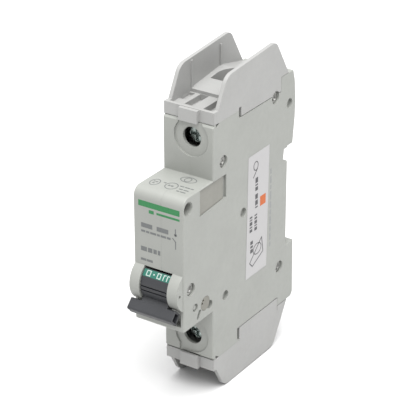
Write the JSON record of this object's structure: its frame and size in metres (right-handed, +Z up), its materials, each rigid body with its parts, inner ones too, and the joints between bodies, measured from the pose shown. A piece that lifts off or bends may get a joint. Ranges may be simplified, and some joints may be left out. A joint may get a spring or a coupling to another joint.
{
  "type": "miniature circuit breaker",
  "caption": "Narrow DIN-rail miniature circuit breaker with a toggle, screw terminals and barrier covers over both ends; switches and protects one circuit.",
  "frame": {"origin": "centre of the rail seat face, at mid width and at the rail's centre line", "axes": "+X to the labelled side, +Y back into the panel along the rail seat's normal, +Z up along the body, toggle on -Y"},
  "size_m": [0.0181, 0.0694, 0.1084],
  "materials": {
    "case_plastic": "fine moulded texture",
    "cover_plastic": "fine moulded texture",
    "toggle_plastic": "satin",
    "band_green": "printed",
    "label_white": "printed film",
    "blank_taupe": "matte",
    "steel": "zinc plated",
    "zinc_screw": "passivated zinc",
    "spring_steel": "drawn",
    "copper": "bare copper",
    "silver_contact": "silver alloy",
    "brass": "plain",
    "arc_steel": "copper-flashed steel",
    "fibre": "vulcanised fibre",
    "mechanism_plastic": "moulded",
    "lever_plastic": "moulded",
    "bobbin_plastic": "moulded",
    "bimetal": "rolled",
    "clip_plastic": "moulded"
  },
  "bodies": {
    "case": {"case_left": "case_plastic", "case_right": "case_plastic", "case_rivets": "steel", "side_blanking_plate": "blank_taupe", "side_label": "label_white", "upper_terminal_cover": "cover_plastic", "lower_terminal_cover": "cover_plastic", "toggle_pin": "steel", "carrier_pin": "steel", "toggle_spring": "spring_steel", "trip_lever_spring": "spring_steel", "fixed_contact_bar": "copper", "fixed_contact": "silver_contact", "arc_chute_plates": "arc_steel", "arc_chute_cheeks": "fibre", "arc_runner": "copper", "solenoid_yoke": "steel", "solenoid_bobbin": "bobbin_plastic", "solenoid_coil": "copper", "solenoid_core": "steel", "plunger_spring": "spring_steel", "bimetal_bracket": "steel", "calibration_screw": "brass", "flexible_braid": "copper", "load_strap": "copper", "din_clip_spring": "spring_steel"},
    "toggle": {"toggle": "toggle_plastic", "off_band": "band_green"},
    "link": {"link_rod": "steel"},
    "carrier": {"contact_carrier": "mechanism_plastic", "contact_arm": "copper", "moving_contact": "silver_contact", "contact_spring": "spring_steel"},
    "trip_lever": {"trip_lever": "lever_plastic"},
    "plunger": {"plunger": "steel"},
    "bimetal": {"bimetal_strip": "bimetal"},
    "din_clip": {"din_clip": "clip_plastic"},
    "upper_screw": {"upper_terminal_screw": "zinc_screw"},
    "upper_cage": {"upper_terminal_cage": "steel"},
    "lower_screw": {"lower_terminal_screw": "zinc_screw"},
    "lower_cage": {"lower_terminal_cage": "steel"}
  },
  "joints": [
    {"name": "toggle_pivot", "type": "hinge", "parent": "case", "child": "toggle", "pos_m": [0, -0.0555, -0.009], "axis": [-1, 0, 0], "range_deg": [0, 84]},
    {"name": "link_pivot", "type": "hinge", "parent": "toggle", "child": "link", "pos_m": [0, -0.05764, -0.00662], "axis": [1, 0, 0], "range_deg": [0, 84]},
    {"name": "carrier_pivot", "type": "hinge", "parent": "case", "child": "carrier", "pos_m": [0, -0.04, 0.004], "axis": [1, 0, 0], "range_deg": [0, 23]},
    {"name": "plunger_slide", "type": "slide", "parent": "case", "child": "plunger", "axis": [0, -1, 0], "range_m": [0, 0.0028], "stiffness_N_per_m": 120, "springref_m": -0.001, "deforming": ["plunger_spring"]},
    {"name": "trip_lever_pivot", "type": "hinge", "parent": "case", "child": "trip_lever", "pos_m": [0, -0.0476, -0.01735], "axis": [1, 0, 0], "range_deg": [0, 10]},
    {"name": "bimetal_flex", "type": "hinge", "parent": "case", "child": "bimetal", "pos_m": [0, -0.0133, -0.0205], "axis": [-1, 0, 0], "range_deg": [0, 3], "stiffness_Nm_per_rad": 0.05, "springref_deg": -1.15},
    {"name": "din_clip_slide", "type": "slide", "parent": "case", "child": "din_clip", "axis": [0, 0, -1], "range_m": [0, 0.003], "stiffness_N_per_m": 500, "springref_m": -0.002, "deforming": ["din_clip_spring"]},
    {"name": "upper_screw_turn", "type": "hinge", "parent": "case", "child": "upper_screw", "pos_m": [0.00105, -0.032, 0.0349], "axis": [0, 1, 0], "range_deg": [0, 3600]},
    {"name": "upper_cage_slide", "type": "slide", "parent": "case", "child": "upper_cage", "axis": [0, -1, 0], "range_m": [0, 0.008]},
    {"name": "lower_screw_turn", "type": "hinge", "parent": "case", "child": "lower_screw", "pos_m": [0.00105, -0.032, -0.0332], "axis": [0, 1, 0], "range_deg": [0, 3600]},
    {"name": "lower_cage_slide", "type": "slide", "parent": "case", "child": "lower_cage", "axis": [0, -1, 0], "range_m": [0, 0.008]}
  ],
  "couplings": [
    {"joint": "link_pivot", "follows": "toggle_pivot", "ratio": 1},
    {"joint": "carrier_pivot", "follows": "toggle_pivot", "ratio": 0.2738},
    {"joint": "trip_lever_pivot", "follows": "plunger_slide", "rad_per_m": 62},
    {"joint": "upper_screw_turn", "follows": "upper_cage_slide", "rad_per_m": 7853.9},
    {"joint": "lower_screw_turn", "follows": "lower_cage_slide", "rad_per_m": 7853.9}
  ]
}
